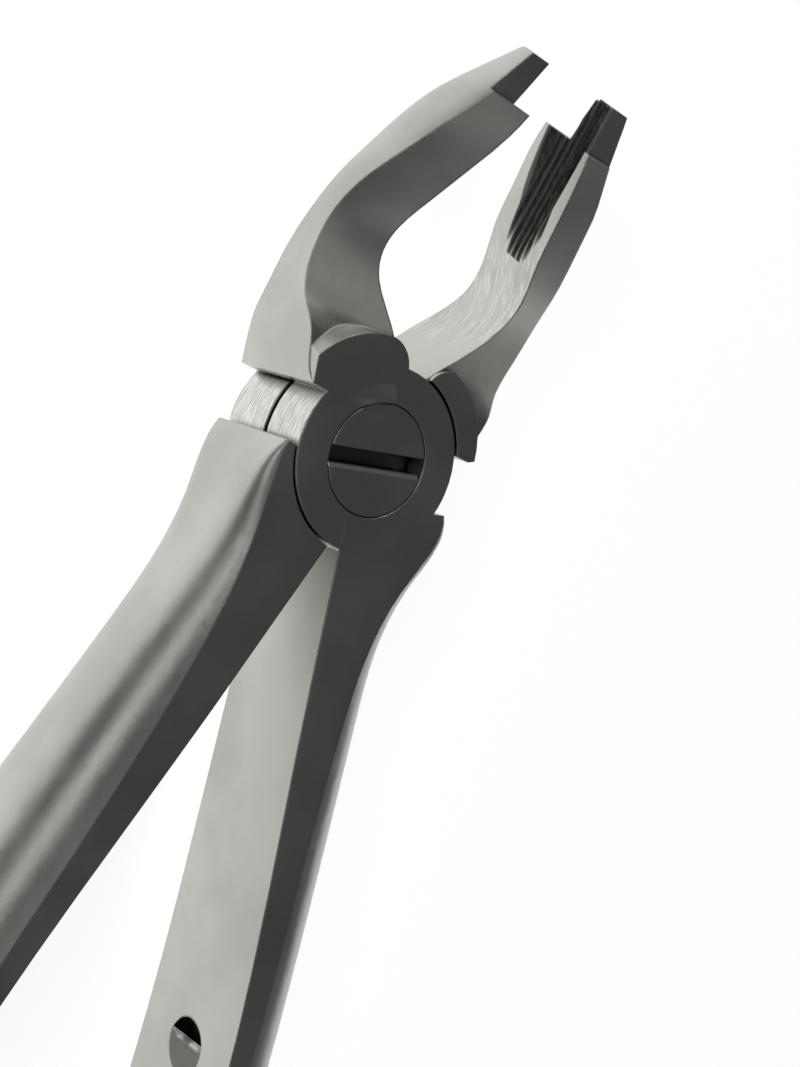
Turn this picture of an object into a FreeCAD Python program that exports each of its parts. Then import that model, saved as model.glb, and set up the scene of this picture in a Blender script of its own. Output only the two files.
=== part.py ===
# Extraction forceps with a screwed lap joint: two crossed forgings and the slotted screw they turn on.
#
# Frame: millimetres, +Z up along the pivot screw towards its head, +Y along the closed beaks, +X to the right.
# The origin is on the pivot axis at the back face of the joint. "Out" is the distance from the YZ plane.
# front_half carries the beak on the -X side and the handle on the +X side; rear_half is the other way round.

import FreeCAD, Part
import math
import os
import Sketcher

Vector = FreeCAD.Vector
doc = FreeCAD.newDocument("ExtractionForceps")

# ---------------------------------------------------------------- driving sizes

JOINT = {
    "joint_height": 10.4,        # front face to back face of the closed joint
    "lap_split": 5.2,            # height of the rear lap
    "lap_gap": 0.45,             # parting gap between the two laps
    "disc_radius": 7.55,         # round outline of each lap
    "recess_gap": 0.2,           # disc to the recess wall of the other half
    "disc_bevel": 0.08,          # bevel round the outer edge of each lap
    "arch_radius": 7.5,          # rounded front face where the beak leaves the joint
    "scoop_radius": 5.2,         # the same outline at the foot of the slope below it
    "scoop_depth": 3.0,          # height of that slope
}
# Where the flat joint front ends on the beak of each half. "Nose" is the small radius back to the disc.
# highest point out, highest point beyond the disc, nose radius, outer end beyond the disc, height of that end
ARCH_NAMES = ("out", "top", "nose", "side_out", "side")
ARCH = {
    "front": (3.1, 1.63, 2.6, 1.35, 5.15),
    "rear": (3.75, 1.42, 2.0, 1.4, 3.4),
}
SCREW = {
    "head_radius": 4.5,
    "head_height": 3.2,
    "head_gap": 0.1,             # head to its counterbore
    "shank_radius": 3.2,
    "shank_gap": 0.05,           # running fit in the front lap
    "thread_radius": 2.8,
    "slot_width": 1.35,
    "slot_depth": 2.2,
    "slot_bevel": 0.35,          # worn bevel on one slot edge
    "slot_turn": 14.0,           # degrees from the X axis
}
# Beak stations from the shoulder to beyond the tip. Heights are measured from the joint's front face, and the
# two outer widths of the shoulder stations from the disc.
# place, inner face out, outer edge out, inner front, outer front, outer back out, outer back, inner back,
# side radius
BEAK_NAMES = ("place", "inner", "edge", "front", "ridge", "back_out", "back", "root", "side")
BEAK = [
    (3.1, 0.9, 0.8, 0.0, 0.0, 0.9, -10.4, -10.4, 200.0),
    (6.6, 1.3, 1.95, -0.3, -1.3, 2.25, -9.5, -10.4, 90.0),
    (8.3, 2.2, 2.55, -0.45, -2.2, 2.9, -8.5, -10.4, 35.0),
    (10.0, 3.65, 3.1, -0.4, -3.1, 3.45, -7.4, -10.4, 20.0),
    (14.0, 6.7, 11.25, -0.75, -3.0, 11.5, -5.9, -10.0, 8.0),
    (16.5, 6.95, 11.2, 0.05, -2.35, 11.45, -5.0, -7.6, 7.0),
    (19.0, 6.15, 10.75, 1.0, -1.1, 11.0, -4.4, -5.9, 6.5),
    (21.5, 5.3, 9.8, 2.2, 0.4, 10.05, -4.1, -5.2, 6.4),
    (24.0, 4.5, 8.8, 3.5, 1.9, 9.0, -3.8, -4.2, 6.3),
    (26.5, 3.78, 7.65, 4.6, 3.15, 7.9, -3.3, -3.05, 6.2),
    (29.0, 3.2, 6.45, 5.2, 4.15, 6.5, -2.3, -2.0, 6.0),
    (35.0, 2.3, 3.6, 7.0, 6.8, 2.9, 2.0, 1.0, 5.5),
]
TIP = {
    "tip_pitch": 20.0,           # rise of the beak axis at the tip, degrees
    "tip_turn": 9.0,             # inward lean of the gripping channel, degrees
    "step_place": 29.3,          # where the beak narrows to its tongue
    "step_height": 1.9,          # that point above the joint's front face
    "tongue_length": 3.95,
    "tongue_front": 1.9,         # front face of the tongue above the beak axis
    "tongue_back": 0.1,          # its back edge on the gripping side, below the axis
    "tongue_slant": 3.6,         # how far the end of the tongue leans back over the joint height
    "groove_length": 15.5,
    "channel_radius": 4.2,
    "channel_depth": 1.0,
    "groove_radius": 0.34,
    "groove_spacing": 9.5,       # degrees round the channel
    "grip_out": 3.2,             # gripping face at the step, out from the middle
    "grip_ahead": 1.0,           # start of the channel ahead of the tongue
}
# Handle stations along the handle, from the joint to the end. Heights from the joint's front face.
# place, inward bow, width, flat, facet depth, middle height, half height
HANDLE_NAMES = ("place", "bow", "width", "flat", "facet", "middle", "half")
HANDLE = [
    (3.6, 0.0, 7.8, 7.5, 0.3, -5.2, 5.2),
    (8.0, 0.0, 7.7, 6.3, 1.9, -5.2, 5.2),
    (15.0, 0.0, 7.4, 4.9, 3.8, -5.4, 5.4),
    (26.0, 0.0, 7.3, 3.4, 5.0, -5.8, 5.8),
    (50.0, 0.0, 6.7, 2.0, 5.8, -7.0, 6.7),
    (80.0, 3.0, 7.2, 1.8, 6.0, -8.3, 6.9),
    (112.0, 9.0, 7.4, 1.8, 5.6, -8.9, 6.4),
    (133.0, 12.8, 7.0, 1.7, 4.7, -8.5, 5.5),
    (137.0, 13.4, 6.4, 1.5, 4.2, -8.4, 4.9),
    (139.0, 13.6, 5.2, 1.2, 3.2, -8.4, 3.8),
]
GRIP = {
    "handle_angle": 14.33,       # each handle from the -Y direction, jaws as drawn
    "front_offset": 1.8,         # inner face of the front half's handle, past the pivot
    "rear_offset": 0.8,          # inner face of the rear half's handle, past the pivot
    "dimple_place": 51.0,        # round dimple in the inner face, along the handle
    "dimple_radius": 2.5,
    "dimple_depth": 1.4,
}
SHOULDER_STATIONS = 4            # beak stations beside the disc
ROOT_STATIONS = 2                # handle stations beside the disc
DIMPLE_STATION = 5               # handle station whose middle height the dimple shares
GROOVES = 6                      # in each channel
OVERCUT = 2                      # times the joint height: carries a cut clear of the metal
RUN_OUT = 1.5                    # times the head radius: carries the slot past the head

S = {}
for group in (JOINT, SCREW, TIP, GRIP):
    S.update(group)
for prefix, names, rows in (("beak", BEAK_NAMES, enumerate(BEAK, 1)),
                            ("handle", HANDLE_NAMES, enumerate(HANDLE, 1)), ("arch", ARCH_NAMES, ARCH.items())):
    for key, row in rows:
        for name, value in zip(names, row):
            S[f"{prefix}_{name}_{key}"] = value

sheet = doc.addObject("Spreadsheet::Sheet", "Sizes")
for line, (alias, value) in enumerate(S.items(), 1):
    sheet.set(f"A{line}", alias)
    sheet.set(f"B{line}", str(value))
    sheet.setAlias(f"B{line}", alias)
doc.recompute()


# ---------------------------------------------------------------- sketch helpers

def total(*terms):
    """A number and the matching sheet expression: the sum of factor times size."""
    value = sum(factor * S[alias] for factor, alias in terms)
    return value, " + ".join(f"({factor}) * Sizes.{alias}" for factor, alias in terms)


def size(alias, factor=1):
    return total((factor, alias))


def pin_point(sketch, edge, end, across, up):
    """Hold one end of an edge at sheet-driven coordinates."""
    for kind, amount in (("DistanceX", across), ("DistanceY", up)):
        index = sketch.addConstraint(Sketcher.Constraint(kind, -1, 1, edge, end, amount[0]))
        sketch.setExpression(f"Constraints[{index}]", amount[1])


def outline(sketch, corners, arcs=None):
    """A closed outline through the corners; arcs gives the radius of an edge and the side it turns to."""
    arcs = arcs or {}
    ends = []
    count = len(corners)
    for i in range(count):
        (ax, ay), (bx, by) = [(c[0][0], c[1][0]) for c in (corners[i], corners[(i + 1) % count])]
        a, b = Vector(ax, ay), Vector(bx, by)
        if i in arcs:
            radius, turns_left = arcs[i]
            chord = b.sub(a)
            rise = math.sqrt(radius[0] ** 2 - chord.Length ** 2 / 4)
            normal = Vector(-chord.y, chord.x).normalize()
            centre = (a + b).multiply(0.5) + normal.multiply(rise if turns_left else -rise)
            first, last = (a, b) if turns_left else (b, a)
            angles = [math.atan2(p.y - centre.y, p.x - centre.x) for p in (first, last)]
            round_edge = Part.Circle(centre, Vector(0, 0, 1), radius[0])
            edge = sketch.addGeometry(Part.ArcOfCircle(round_edge, *angles))
            index = sketch.addConstraint(Sketcher.Constraint("Radius", edge, radius[0]))
            sketch.setExpression(f"Constraints[{index}]", radius[1])
            ends.append((edge, (1, 2) if turns_left else (2, 1)))
        else:
            edge = sketch.addGeometry(Part.LineSegment(a, b))
            ends.append((edge, (1, 2)))
    for i, (edge, (start, finish)) in enumerate(ends):
        following, (next_start, _) = ends[(i + 1) % count]
        sketch.addConstraint(Sketcher.Constraint("Coincident", edge, finish, following, next_start))
        pin_point(sketch, edge, start, *corners[i])


def circle(sketch, radius, centre=None):
    x, y = (centre[0][0], centre[1][0]) if centre else (0, 0)
    edge = sketch.addGeometry(Part.Circle(Vector(x, y), Vector(0, 0, 1), radius[0]))
    index = sketch.addConstraint(Sketcher.Constraint("Radius", edge, radius[0]))
    sketch.setExpression(f"Constraints[{index}]", radius[1])
    if centre:
        pin_point(sketch, edge, 3, *centre)
    else:
        sketch.addConstraint(Sketcher.Constraint("Coincident", edge, 3, -1, 1))


def body_sketch(body, name, plane, base=(None, None, None), axis=None, turn=None):
    """A sketch on one of the body's own origin planes, moved and turned by sheet expressions."""
    sketch = body.newObject("Sketcher::SketchObject", f"{body.Name}_{name}")
    support = next(f for f in body.Origin.OriginFeatures if f.Role == plane)
    sketch.AttachmentSupport = [(support, "")]
    sketch.MapMode = "FlatFace"
    if turn:
        sketch.AttachmentOffset = FreeCAD.Placement(Vector(), FreeCAD.Rotation(axis, turn[0]))
        sketch.setExpression("AttachmentOffset.Rotation.Angle", turn[1] + " * 1deg")
    for letter, amount in zip("xyz", base):
        if amount:
            sketch.setExpression(f"AttachmentOffset.Base.{letter}", amount[1])
    return sketch


def upright_sketch(name, turn=None, base=(None, None, None)):
    """A free sketch in an upright plane across the object: sketch x runs outwards, sketch y runs up."""
    sketch = doc.addObject("Sketcher::SketchObject", name)
    upright = FreeCAD.Rotation(Vector(1, 0, 0), 90)
    spin = FreeCAD.Rotation(Vector(0, 0, 1), turn[0] if turn else 0)
    sketch.Placement = FreeCAD.Placement(Vector(), spin * upright)
    if turn:
        sketch.setExpression("Placement.Rotation.Yaw", turn[1] + " * 1deg")
    for letter, amount in zip("xyz", base):
        if amount:
            sketch.setExpression(f"Placement.Base.{letter}", amount[1])
    return sketch


def smooth_loft(name, sketches):
    feature = doc.addObject("Part::Loft", name)
    feature.Sections = sketches
    feature.Solid = True
    feature.MaxDegree = 3
    return feature


def cylinder(name, radius, low, high):
    """A cylinder on the pivot axis between two heights."""
    feature = doc.addObject("Part::Cylinder", name)
    feature.setExpression("Radius", radius[1])
    feature.setExpression("Height", f"({high[1]}) - ({low[1]})")
    feature.setExpression("Placement.Base.z", low[1])
    return feature


def cut(body, name, profile, length, upwards=False, both_ways=False):
    feature = body.newObject("PartDesign::Pocket", f"{body.Name}_{name}")
    feature.Profile = profile
    feature.Reversed = upwards
    if both_ways:
        feature.SideType = "Symmetric"
    feature.setExpression("Length", length[1])
    return feature


ZERO = (0.0, "0")
TOP = size("joint_height")


# ---------------------------------------------------------------- the forged blanks

def beak(name, side):
    """Loft the beak through its stations; side is -1 for a beak on the -X side."""
    sketches = []
    for k in range(1, len(BEAK) + 1):
        sketch = upright_sketch(f"{name}_beak_{k}", base=(None, size(f"beak_place_{k}"), None))
        disc = [(side, "disc_radius")] if k <= SHOULDER_STATIONS else []

        def corner(out, height, *beyond):
            return (total((side, f"beak_{out}_{k}"), *beyond),
                    total((1, "joint_height"), (1, f"beak_{height}_{k}")))

        corners = [corner("inner", "front"), corner("edge", "ridge", *disc),
                   corner("back_out", "back", *disc), corner("inner", "root")]
        outline(sketch, corners, {1: (size(f"beak_side_{k}"), side < 0)})
        sketches.append(sketch)
    return smooth_loft(f"{name}_beak", sketches)


def handle(name, side, offset):
    """Loft the handle through its stations; side is +1 for a handle on the +X side."""
    sketches = []
    angle = (side * S["handle_angle"], f"{side} * Sizes.handle_angle")
    sine, cosine = "sin(Sizes.handle_angle * 1deg)", "cos(Sizes.handle_angle * 1deg)"
    for k in range(1, len(HANDLE) + 1):
        along, shift = f"Sizes.handle_place_{k}", f"(Sizes.{offset} + Sizes.handle_bow_{k})"
        across = (None, f"{side} * ({along} * {sine} - {shift} * {cosine})")
        back = (None, f"-({along} * {cosine} + {shift} * {sine})")
        sketch = upright_sketch(f"{name}_handle_{k}", angle, (across, back, None))
        middle = [(1, "joint_height"), (1, f"handle_middle_{k}")]
        half, depth = f"handle_half_{k}", f"handle_facet_{k}"
        root = [(side, offset)] if k <= ROOT_STATIONS else []
        flat = total((side, f"handle_flat_{k}"), *root)
        wide = total((side, f"handle_width_{k}"), *root)
        roll = S[f"handle_width_{k}"] - S[f"handle_flat_{k}"]
        roll_words = f"(Sizes.handle_width_{k} - Sizes.handle_flat_{k})"
        radius = ((roll ** 2 + S[depth] ** 2) / (2 * roll),
                  f"({roll_words} ^ 2 + Sizes.{depth} ^ 2) / (2 * {roll_words})")
        corners = [(ZERO, total(*middle, (1, half))), (flat, total(*middle, (1, half))),
                   (wide, total(*middle, (1, half), (-1, depth))),
                   (wide, total(*middle, (-1, half), (1, depth))),
                   (flat, total(*middle, (-1, half))), (ZERO, total(*middle, (-1, half)))]
        outline(sketch, corners, {1: (radius, side < 0), 3: (radius, side < 0)})
        sketches.append(sketch)
    return smooth_loft(f"{name}_handle", sketches)


def arch(name, side):
    """The flat front of the joint where it runs up into the beak: its rounded end and the slope below it."""
    small, out = f"arch_nose_{name}", f"arch_out_{name}"
    disc, top = (side, "disc_radius"), [(1, "disc_radius"), (1, f"arch_top_{name}")]
    levels = []
    for level, radius, end, height in (
            ("foot", "scoop_radius", (total(disc, (side, "beak_edge_2")), size("beak_place_2")),
             total((1, "joint_height"), (-1, "scoop_depth"))),
            ("face", "arch_radius", (total(disc, (side, f"arch_side_out_{name}")), size(f"arch_side_{name}")),
             TOP)):
        sketch = doc.addObject("Sketcher::SketchObject", f"{name}_arch_{level}")
        sketch.setExpression("Placement.Base.z", height[1])
        inner = total((side, out), (-side, small))
        corners = [(inner, size("beak_place_1")), (inner, total(*top, (-1, small))),
                   (size(out, side), total(*top)), end,
                   (total(disc, (side, "beak_edge_1")), size("beak_place_1"))]
        outline(sketch, corners, {1: (size(small), side < 0), 2: (size(radius), side < 0)})
        levels.append(sketch)
    solid = doc.addObject("Part::Loft", f"{name}_arch")
    solid.Sections = levels
    solid.Solid = True
    solid.Ruled = True
    return solid


def blank(name, side, offset, lap_low, lap_high, open_low, open_high):
    """One forging before machining: beak, handle, joint front and lap, opened where the other lap turns."""
    lap = cylinder(f"{name}_lap", size("disc_radius"), lap_low, lap_high)
    doc.recompute()
    bevelled = doc.addObject("Part::Chamfer", f"{name}_lap_bevelled")
    bevelled.Base = lap
    rims = [n for n, e in enumerate(lap.Shape.Edges, 1) if e.Closed]
    bevelled.Edges = [(n, S["disc_bevel"], S["disc_bevel"]) for n in rims]
    full = doc.addObject("Part::MultiFuse", f"{name}_forging")
    full.Shapes = [beak(name, side), handle(name, -side, offset), arch(name, side), bevelled]
    opened = doc.addObject("Part::Cut", f"{name}_blank")
    opened.Base = full
    opened.Tool = cylinder(f"{name}_recess", total((1, "disc_radius"), (1, "recess_gap")), open_low, open_high)
    return opened


REAR_LAP_HIGH = size("lap_split")
FRONT_LAP_LOW = total((1, "lap_split"), (1, "lap_gap"))
BELOW = size("joint_height", -OVERCUT)
ABOVE = size("joint_height", OVERCUT)

front_blank = blank("front", -1, "front_offset", FRONT_LAP_LOW, TOP, BELOW, FRONT_LAP_LOW)
rear_blank = blank("rear", 1, "rear_offset", ZERO, REAR_LAP_HIGH, REAR_LAP_HIGH, ABOVE)
doc.recompute()


# ---------------------------------------------------------------- machining

def machined(name, base):
    body = doc.addObject("PartDesign::Body", name)
    body.Label = name
    body.BaseFeature = base
    return body


def step_tip(body, side):
    """Cut the front and the back of the beak away beyond the step, leaving the tongue, and trim its end."""
    across = body_sketch(body, "step_outline", "XZ_Plane", (
        None, total((1, "joint_height"), (1, "step_height")), size("step_place", -1)))
    across.AttachmentOffset = FreeCAD.Placement(Vector(), FreeCAD.Rotation(0, 0, S["tip_pitch"]))
    across.setExpression("AttachmentOffset.Rotation.Roll", "Sizes.tip_pitch * 1deg")
    far, wide = size("joint_height"), size("joint_height", OVERCUT * side)
    front, back = size("tongue_front"), size("tongue_back", -1)
    under = total((-1, "tongue_back"), (-1, "joint_height"))
    outline(across, [(ZERO, front), (wide, front), (wide, far), (ZERO, far)])
    grip = size("grip_out", side)
    outline(across, [(ZERO, back), (grip, back),
                     (total((side, "grip_out"), (side, "joint_height")), under), (ZERO, under)])
    cut(body, "step", across, size("joint_height"))
    aside = body_sketch(body, "tongue_end", "YZ_Plane",
                        (size("step_place"), total((1, "joint_height"), (1, "step_height")), None),
                        Vector(0, 0, 1), size("tip_pitch"))
    end, beyond = size("tongue_length"), total((1, "tongue_length"), (1, "joint_height"))
    outline(aside, [(end, ZERO), (total((1, "tongue_length"), (-1, "tongue_slant")), size("joint_height", -1)),
                    (beyond, size("joint_height", -1)), (beyond, far), (end, far)])
    return cut(body, "end", aside, size("joint_height", 2 * OVERCUT), both_ways=True)


def grip_sketch(body, name, side):
    """A sketch across the gripping face, ahead of the tip, centred on the channel's own axis."""
    pitch, turn = "(Sizes.tip_pitch * 1deg)", "(Sizes.tip_turn * 1deg)"
    ahead = "(Sizes.tongue_length + Sizes.grip_ahead)"
    off_face = "(Sizes.channel_radius - Sizes.channel_depth)"
    sketch = body_sketch(body, name, "XZ_Plane", (
        (None, f"{side} * (Sizes.grip_out - {ahead} * sin{turn} * cos{pitch} - {off_face} * cos{turn})"),
        (None, f"Sizes.joint_height + Sizes.step_height + {ahead} * sin{pitch}"),
        (None, f"-(Sizes.step_place + {ahead} * cos{turn} * cos{pitch}) + {off_face} * sin{turn}")))
    sketch.AttachmentOffset = FreeCAD.Placement(Vector(), FreeCAD.Rotation(0, side * S["tip_turn"], S["tip_pitch"]))
    sketch.setExpression("AttachmentOffset.Rotation.Pitch", f"{side} * Sizes.tip_turn * 1deg")
    sketch.setExpression("AttachmentOffset.Rotation.Roll", "Sizes.tip_pitch * 1deg")
    return sketch


def groove_grip(body, side):
    """A shallow channel along the gripping face with fine grooves round it."""
    length = total((1, "groove_length"))
    channel = grip_sketch(body, "channel_section", side)
    circle(channel, size("channel_radius"))
    cut(body, "channel", channel, length, upwards=True)
    groove = grip_sketch(body, "groove_section", side)
    spread = f"(Sizes.groove_spacing * {GROOVES - 1} / 2 * 1deg)"
    half_spread = math.radians(S["groove_spacing"] * (GROOVES - 1) / 2)
    circle(groove, size("groove_radius"),
           ((side * S["channel_radius"] * math.cos(half_spread), f"{side} * Sizes.channel_radius * cos{spread}"),
            (-S["channel_radius"] * math.sin(half_spread), f"-Sizes.channel_radius * sin{spread}")))
    first = cut(body, "groove", groove, length, upwards=True)
    pattern = body.newObject("PartDesign::PolarPattern", f"{body.Name}_grooves")
    pattern.Originals = [first]
    pattern.Axis = (channel, ["N_Axis"])
    pattern.Reversed = side < 0
    pattern.Occurrences = GROOVES
    pattern.setExpression("Angle", f"Sizes.groove_spacing * {GROOVES - 1} * 1deg")
    body.Tip = pattern
    return pattern


def dimple(body, side, offset):
    """The round blind dimple in the handle's inner face; side is +1 for a handle on the +X side."""
    sine, cosine = "sin(Sizes.handle_angle * 1deg)", "cos(Sizes.handle_angle * 1deg)"
    sketch = body_sketch(body, "dimple_outline", "YZ_Plane", (
        (None, f"-(Sizes.dimple_place * {cosine} + Sizes.{offset} * {sine})"),
        total((1, "joint_height"), (1, f"handle_middle_{DIMPLE_STATION}")),
        (None, f"{side} * (Sizes.dimple_place * {sine} - Sizes.{offset} * {cosine})")),
        Vector(0, 1, 0), (side * S["handle_angle"], f"{side} * Sizes.handle_angle"))
    circle(sketch, size("dimple_radius"))
    return cut(body, "dimple", sketch, size("dimple_depth"), upwards=side > 0)


def hole(body, name, radius, low, depth):
    """A round hole on the pivot axis, from a height upwards."""
    sketch = body_sketch(body, f"{name}_outline", "XY_Plane", (None, None, low))
    circle(sketch, radius)
    return cut(body, name, sketch, depth, upwards=True)


front = machined("front_half", front_blank)
step_tip(front, -1)
groove_grip(front, -1)
dimple(front, 1, "front_offset")
hole(front, "shank_hole", total((1, "shank_radius"), (1, "shank_gap")), ZERO, size("joint_height", OVERCUT))
hole(front, "counterbore", total((1, "head_radius"), (1, "head_gap")),
     total((1, "joint_height"), (-1, "head_height"), (-1, "head_gap")), size("joint_height"))

rear = machined("rear_half", rear_blank)
step_tip(rear, 1)
groove_grip(rear, 1)
dimple(rear, -1, "rear_offset")
hole(rear, "thread_hole", size("thread_radius"), ZERO, size("joint_height"))


# ---------------------------------------------------------------- the screw

screw = doc.addObject("PartDesign::Body", "joint_screw")
screw.Label = "joint_screw"
section = body_sketch(screw, "section", "XZ_Plane")
under_head = total((1, "joint_height"), (-1, "head_height"))
outline(section, [(ZERO, ZERO), (size("thread_radius"), ZERO),
                  (size("thread_radius"), size("lap_split")), (size("shank_radius"), size("lap_split")),
                  (size("shank_radius"), under_head), (size("head_radius"), under_head),
                  (size("head_radius"), TOP), (ZERO, TOP)])
turned = screw.newObject("PartDesign::Revolution", "screw_turned")
turned.Profile = section
turned.ReferenceAxis = (section, ["V_Axis"])
slot = body_sketch(screw, "slot_outline", "XY_Plane", (None, None, TOP), Vector(0, 0, 1), size("slot_turn"))
along, back = size("head_radius", RUN_OUT), size("head_radius", -RUN_OUT)
up, down = size("slot_width", 0.5), size("slot_width", -0.5)
outline(slot, [(back, down), (along, down), (along, up), (back, up)])
cut(screw, "slot", slot, size("slot_depth"))
worn = body_sketch(screw, "slot_edge", "YZ_Plane", (None, None, None), Vector(0, 1, 0), size("slot_turn"))
edge_top = total((1, "joint_height"), (-1, "slot_bevel"))
edge_out = total((-0.5, "slot_width"), (-1, "slot_bevel"))
outline(worn, [(down, edge_top), (ZERO, edge_top), (ZERO, TOP), (edge_out, TOP)])
cut(screw, "worn_edge", worn, size("head_radius", 2 * RUN_OUT), both_ways=True)

# ---------------------------------------------------------------- checks and files

doc.recompute()
for obj in doc.Objects:
    assert not {"Invalid", "Error"} & set(obj.State), f"{obj.Name} did not rebuild"
os.makedirs("parts", exist_ok=True)
for body in (front, rear, screw):
    shape = body.Shape
    assert not shape.isNull() and shape.isValid() and len(shape.Solids) == 1, body.Label
    shape.exportStep(f"parts/{body.Label}.step")
    print(body.Label, round(shape.Volume, 1), "mm3")
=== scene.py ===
# Extraction forceps: bead-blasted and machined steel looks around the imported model.

import math
import bpy
from mathutils import Euler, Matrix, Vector


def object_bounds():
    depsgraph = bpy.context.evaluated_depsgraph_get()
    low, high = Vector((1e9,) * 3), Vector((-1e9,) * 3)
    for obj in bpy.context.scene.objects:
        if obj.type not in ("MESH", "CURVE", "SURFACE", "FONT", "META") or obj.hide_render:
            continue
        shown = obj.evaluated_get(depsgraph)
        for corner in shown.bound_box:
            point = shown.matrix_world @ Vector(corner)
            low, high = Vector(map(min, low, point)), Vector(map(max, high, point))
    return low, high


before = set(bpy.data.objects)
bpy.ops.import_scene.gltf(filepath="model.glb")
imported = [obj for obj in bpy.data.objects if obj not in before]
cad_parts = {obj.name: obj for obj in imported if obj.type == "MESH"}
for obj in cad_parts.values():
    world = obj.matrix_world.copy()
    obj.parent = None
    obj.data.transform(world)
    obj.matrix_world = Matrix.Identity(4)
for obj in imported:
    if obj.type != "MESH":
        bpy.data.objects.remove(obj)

cad_box = [list(corner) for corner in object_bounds()]
MM = 0.001

# ------------------------------------------------------------------ camera

CAMERA_PLACE = (-100.8, -12.66, 148.42)      # millimetres
CAMERA_TURN = (-14.56, -34.98, 28.85)        # degrees

camera_data = bpy.data.cameras.new("camera")
camera_data.lens = 74.23
camera_data.sensor_width = 36.0
camera_data.clip_start = 0.005
camera = bpy.data.objects.new("camera", camera_data)
camera.location = Vector(CAMERA_PLACE) * MM
camera.rotation_euler = Euler([math.radians(angle) for angle in CAMERA_TURN])
bpy.context.scene.collection.objects.link(camera)
bpy.context.scene.camera = camera

# ------------------------------------------------------------------ stage and light

FLOOR_HALF = 0.4                     # metres, half the side of the square floor
FLOOR_GLOW = 0.82                    # the pale table is lit from below
FLOOR_WHITE = 0.88
CENTRE = Vector((0.0, -0.02, 0.005)) # where the softboxes point, metres
WORLD_GREY = 0.075

low = cad_box[0][2]
mesh = bpy.data.meshes.new("floor")
mesh.from_pydata([(-FLOOR_HALF, -FLOOR_HALF, low), (FLOOR_HALF, -FLOOR_HALF, low),
                  (FLOOR_HALF, FLOOR_HALF, low), (-FLOOR_HALF, FLOOR_HALF, low)], [], [(0, 1, 2, 3)])
floor = bpy.data.objects.new("floor", mesh)
bpy.context.scene.collection.objects.link(floor)
white = bpy.data.materials.new("floor_white")
white.use_nodes = True
pale = white.node_tree.nodes["Principled BSDF"].inputs
pale["Base Color"].default_value = (*[FLOOR_WHITE] * 3, 1)
pale["Roughness"].default_value = 0.9
pale["Emission Color"].default_value = (1, 1, 1, 1)
pale["Emission Strength"].default_value = FLOOR_GLOW
mesh.materials.append(white)


def softbox(name, place, width, depth, power):
    data = bpy.data.lights.new(name, "AREA")
    data.shape = "RECTANGLE"
    data.size = width
    data.size_y = depth
    data.energy = power
    light = bpy.data.objects.new(name, data)
    light.location = place
    light.rotation_euler = (CENTRE - Vector(place)).to_track_quat("-Z", "Y").to_euler()
    bpy.context.scene.collection.objects.link(light)


softbox("left_softbox", (-0.65, 0.1, 0.72), 0.45, 0.4, 0.8)
softbox("back_softbox", (-0.2, 0.9, 0.45), 0.6, 0.3, 1.2)
softbox("top_softbox", (0.0, -0.3, 1.2), 0.4, 0.4, 0.3)

world = bpy.data.worlds.new("studio")
world.use_nodes = True
world.node_tree.nodes["Background"].inputs["Color"].default_value = (*[WORLD_GREY] * 3, 1)
bpy.context.scene.world = world
bpy.context.scene.view_settings.view_transform = "Standard"


# ------------------------------------------------------------------ node helpers

class Graph:
    """Short calls for building one material's nodes. A value is a socket or a number."""

    def __init__(self, name):
        self.material = bpy.data.materials.new(name)
        self.material.use_nodes = True
        self.tree = self.material.node_tree
        self.shader = self.tree.nodes["Principled BSDF"]

    def node(self, kind, settings=None, **inputs):
        node = self.tree.nodes.new(kind)
        for key, value in (settings or {}).items():
            setattr(node, key, value)
        for key, value in inputs.items():
            self.feed(node.inputs[key.replace("_", " ")], value)
        return node

    def feed(self, socket, value):
        if isinstance(value, bpy.types.NodeSocket):
            self.tree.links.new(value, socket)
        else:
            socket.default_value = value

    def math(self, operation, *values):
        node = self.node("ShaderNodeMath", {"operation": operation})
        for socket, value in zip(node.inputs, values):
            self.feed(socket, value)
        return node.outputs[0]

    def between(self, value, low, high, start=0.0, finish=1.0):
        """A smooth step: start below low, finish above high."""
        node = self.node("ShaderNodeMapRange", {"interpolation_type": "SMOOTHSTEP"})
        for socket, amount in zip(node.inputs, (value, low, high, start, finish)):
            self.feed(socket, amount)
        return node.outputs[0]

    def scaled(self, vector, scale):
        node = self.node("ShaderNodeVectorMath", {"operation": "MULTIPLY"})
        self.feed(node.inputs[0], vector)
        node.inputs[1].default_value = scale
        return node.outputs[0]

    def noise(self, vector, scale, detail=2.0, rough=0.5):
        node = self.node("ShaderNodeTexNoise", Vector=vector, Scale=scale, Detail=detail, Roughness=rough)
        return node.outputs[0]

    def blend(self, amount, first, second):
        node = self.node("ShaderNodeMix", {"data_type": "RGBA"})
        for socket, value in zip((node.inputs[0], node.inputs[6], node.inputs[7]), (amount, first, second)):
            self.feed(socket, value)
        return node.outputs[2]

    def mix(self, amount, first, second):
        node = self.node("ShaderNodeMix")
        for socket, value in zip((node.inputs[0], node.inputs[2], node.inputs[3]), (amount, first, second)):
            self.feed(socket, value)
        return node.outputs[0]


# ------------------------------------------------------------------ materials

SATIN = (0.47, 0.475, 0.445, 1)      # bead-blasted steel
BRIGHT = (0.80, 0.79, 0.75, 1)       # bare, brushed steel
PAINTED_SHADE = (0.035, 0.035, 0.033, 1)     # painted shade colour for grooves, slits, the screw slot and the dimples
DISC = 7.55                          # millimetres, round side of the laps
FACE = 10.4                          # millimetres, front face of the joint
DIMPLE_Y, DIMPLE_Z = -49.7, 3.4      # millimetres, middle of the dimples in the handles
TIP_STEP = 29.0                      # millimetres, where the gripping face narrows to the tongue
LAND_OUT = 3.2                       # millimetres, edge of the gripping face at the step
LAND_SLOPE, LAND_CURVE = 0.245, 0.004    # how that edge moves out towards the joint
EDGE_WEAR = 0.22                     # millimetres, width of a worn edge
WEAR_AMOUNT = 0.6


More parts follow.
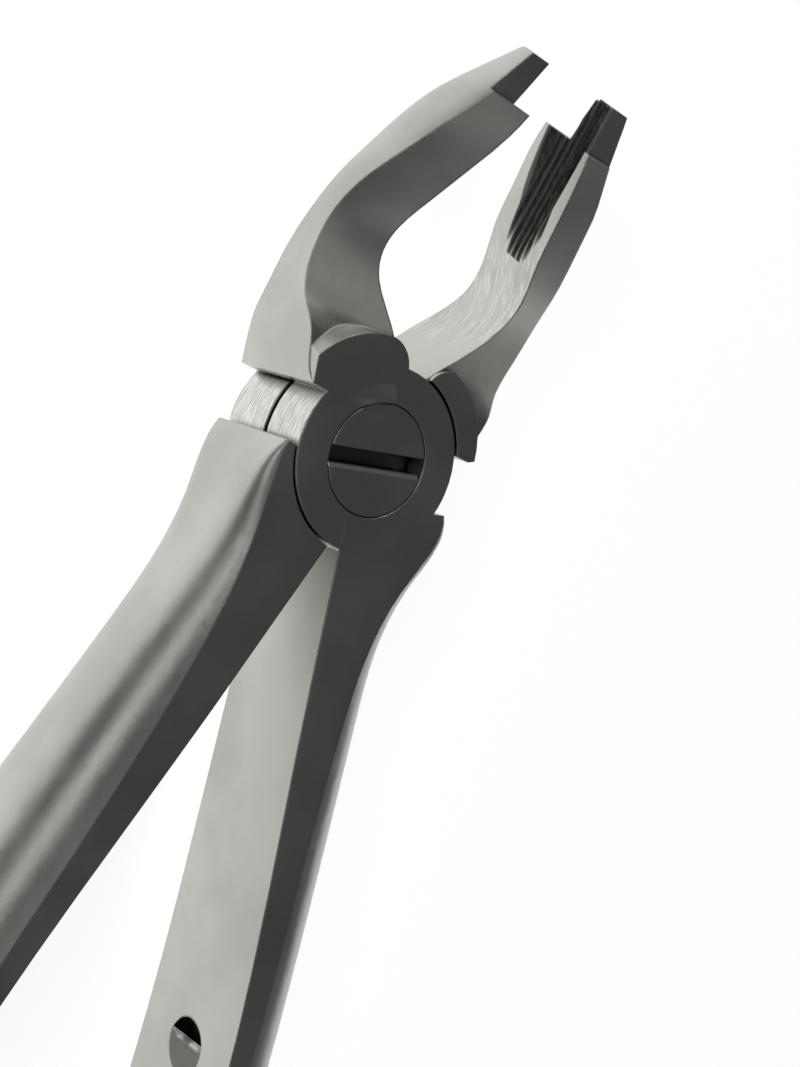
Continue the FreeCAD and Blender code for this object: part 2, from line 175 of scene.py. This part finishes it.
def tinted(colour, factor):
    """The colour scaled by a factor."""
    return tuple(shaded_channel * factor for shaded_channel in colour[:3]) + (1,)


def steel(name, screw=False):
    """Forged steel with its finishes by place; screw adds painted shade deep in the slot and a polished
    slot edge.
    """
    g = Graph(name)
    coords = g.node("ShaderNodeTexCoord")
    place = g.scaled(coords.outputs["Object"], (1 / MM,) * 3)      # millimetres
    x, y, z = g.node("ShaderNodeSeparateXYZ", Vector=place).outputs
    facing = g.node("ShaderNodeSeparateXYZ", Vector=coords.outputs["Normal"])
    out = g.math("ABSOLUTE", x)
    inward = g.math("MULTIPLY", g.math("SIGN", x), g.math("MULTIPLY", facing.outputs[0], -1.0))

    # bead-blasted skin: cloudy tone, fine grain, faint long scratches
    cloud = g.noise(place, 0.12, 3.0)
    grain = g.noise(place, 7.0, 2.0, 0.6)
    scratch = g.between(g.noise(g.scaled(place, (3.2, 0.25, 3.2)), 1.3, 3.0, 0.7), 0.66, 0.74)
    colour = g.blend(g.between(cloud, 0.35, 0.65), SATIN, tinted(SATIN, 1.18))
    rough = g.math("ADD", g.between(cloud, 0.3, 0.7, 0.36, 0.42), g.between(grain, 0.3, 0.7, -0.03, 0.03))
    rough = g.math("SUBTRACT", rough, g.math("MULTIPLY", scratch, 0.05))

    # bare brushed steel on the round sides of the laps and in the crotch of the beaks
    radius = g.math("SQRT", g.math("ADD", g.math("POWER", x, 2.0), g.math("POWER", y, 2.0)))
    upright = g.between(g.math("ABSOLUTE", facing.outputs[2]), 0.3, 0.5, 1.0, 0.0)
    off_disc = g.math("ABSOLUTE", g.math("SUBTRACT", radius, DISC))
    lap = g.math("MULTIPLY", upright, g.between(off_disc, 0.12, 0.16, 1.0, 0.0))
    streak = g.noise(g.scaled(place, (0.35, 0.35, 5.0)), 2.0, 3.0, 0.65)
    crotch = g.math("MULTIPLY", g.between(inward, 0.2, 0.6), g.math("MULTIPLY", g.between(y, 10.0, 13.0),
                    g.between(y, 18.0, 24.0, 1.0, 0.0)))
    patches = g.noise(g.scaled(place, (0.3, 0.3, 2.5)), 1.2, 3.0)
    crotch = g.math("MULTIPLY", crotch, g.between(patches, 0.35, 0.6))
    bare = g.math("MAXIMUM", lap, g.math("MULTIPLY", crotch, 0.7))
    bare_colour = g.blend(g.between(streak, 0.35, 0.65), BRIGHT, tinted(BRIGHT, 0.6))
    colour = g.blend(bare, colour, bare_colour)
    rough = g.mix(bare, rough, g.between(streak, 0.3, 0.7, 0.22, 0.4))

    # brushed scoop where the beak rises from the flat joint front; its front-facing faces are painted
    # bright, partly brushed finish and partly a painted highlight
    above_joint = g.math("MULTIPLY", g.between(y, 8.4, 9.4), g.between(y, 10.5, 16.0, 1.0, 0.0))
    scoop_brushing_and_highlight = g.math("MULTIPLY", g.between(facing.outputs[2], 0.1, 0.35), above_joint)
    scoop_brushing_and_highlight = g.math("MULTIPLY", scoop_brushing_and_highlight, g.between(z, FACE - 0.03, FACE - 0.01, 1.0, 0.0))
    scoop_brushing_and_highlight = g.math("MULTIPLY", scoop_brushing_and_highlight, g.between(g.noise(place, 0.8, 3.0), 0.25, 0.5, 0.75, 1.0))
    colour = g.blend(scoop_brushing_and_highlight, colour, BRIGHT)
    rough = g.mix(scoop_brushing_and_highlight, rough, g.between(grain, 0.3, 0.7, 0.42, 0.62))

    # painted shade darkens the recessed gripping channel, with lighter filed streaks along its ridges
    back = g.math("SUBTRACT", TIP_STEP, y)
    land = g.math("ADD", LAND_OUT, g.math("ADD", g.math("MULTIPLY", back, LAND_SLOPE),
                                          g.math("MULTIPLY", LAND_CURVE, g.math("POWER", back, 2.0))))
    shaded_channel = g.math("MULTIPLY", g.between(g.math("SUBTRACT", out, land), 0.08, 0.22),
                     g.math("MULTIPLY", g.between(inward, 0.25, 0.5), g.between(y, 17.5, 20.5)))
    filed = g.noise(g.scaled(place, (1.2, 0.15, 2.4)), 2.2, 3.0, 0.7)
    channel_shade_colour = g.blend(g.between(filed, 0.45, 0.75), PAINTED_SHADE, tinted(SATIN, 0.55))
    # painted shade: the channel is coloured dark where shade falls in the groove
    colour = g.blend(g.math("MULTIPLY", shaded_channel, 0.85), colour, channel_shade_colour)
    rough = g.mix(shaded_channel, rough, 0.42)

    # painted shade on the floor of the dimple in the inner face of each handle
    dimple_away = g.math("SQRT", g.math("ADD", g.math("POWER", g.math("SUBTRACT", y, DIMPLE_Y), 2.0),
                                        g.math("POWER", g.math("SUBTRACT", z, DIMPLE_Z), 2.0)))
    dimple_shade = g.math("MULTIPLY", g.between(inward, 0.2, 0.5), g.between(dimple_away, 2.3, 2.5, 1.0, 0.0))
    colour = g.blend(g.math("MULTIPLY", dimple_shade, 0.75), colour, PAINTED_SHADE)

    # worn edges catch the light; painted shade from ambient occlusion darkens slits, grooves and hollows
    edge_normal = g.node("ShaderNodeBevel", {"samples": 6}, Radius=EDGE_WEAR * MM).outputs[0]
    true_normal = g.node("ShaderNodeNewGeometry").outputs["Normal"]
    alike = g.node("ShaderNodeVectorMath", {"operation": "DOT_PRODUCT"})
    g.feed(alike.inputs[0], edge_normal)
    g.feed(alike.inputs[1], true_normal)
    worn = g.math("MULTIPLY", g.between(alike.outputs["Value"], 0.86, 0.985, 1.0, 0.0),
                  g.between(g.noise(place, 0.9, 3.0), 0.35, 0.62))
    colour = g.blend(g.math("MULTIPLY", worn, WEAR_AMOUNT), colour, BRIGHT)
    rough = g.mix(g.math("MULTIPLY", worn, WEAR_AMOUNT), rough, 0.25)
    # painted shade: crevices found by ambient occlusion are coloured dark
    occlusion_shade = g.node("ShaderNodeAmbientOcclusion", {"samples": 8}, Distance=1.2 * MM).outputs["AO"]
    colour = g.blend(g.between(occlusion_shade, 0.25, 0.75, 0.85, 0.0), colour, PAINTED_SHADE)

    if screw:
        # painted shade: the slot is coloured darker the deeper it goes
        slot_shade = g.between(z, FACE - 1.2, FACE - 0.5, 1.0, 0.0)
        colour = g.blend(g.math("MULTIPLY", slot_shade, 0.8), colour, PAINTED_SHADE)
        polished = g.math("MULTIPLY", g.between(z, FACE - 0.4, FACE - 0.3),
                          g.between(z, FACE - 0.04, FACE - 0.02, 1.0, 0.0))
        colour = g.blend(polished, colour, BRIGHT)
        rough = g.mix(polished, rough, 0.3)

    brushing = g.math("MULTIPLY", streak, g.math("MULTIPLY", bare, 1.2))
    height = g.math("ADD", g.math("MULTIPLY", grain, 0.6), brushing)
    height = g.math("SUBTRACT", height, g.math("MULTIPLY", scratch, 0.25))
    bump = g.node("ShaderNodeBump", Strength=0.5, Distance=0.03 * MM, Height=height, Normal=edge_normal)
    g.feed(g.shader.inputs["Normal"], bump.outputs[0])
    g.feed(g.shader.inputs["Base Color"], colour)
    g.feed(g.shader.inputs["Roughness"], rough)
    g.shader.inputs["Metallic"].default_value = 1.0
    return g.material


forged, turned = steel("forged_steel"), steel("screw_steel", True)
for name, material in (("front_half", forged), ("rear_half", forged), ("joint_screw", turned)):
    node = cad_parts[name]
    node.data.materials.clear()
    node.data.materials.append(material)
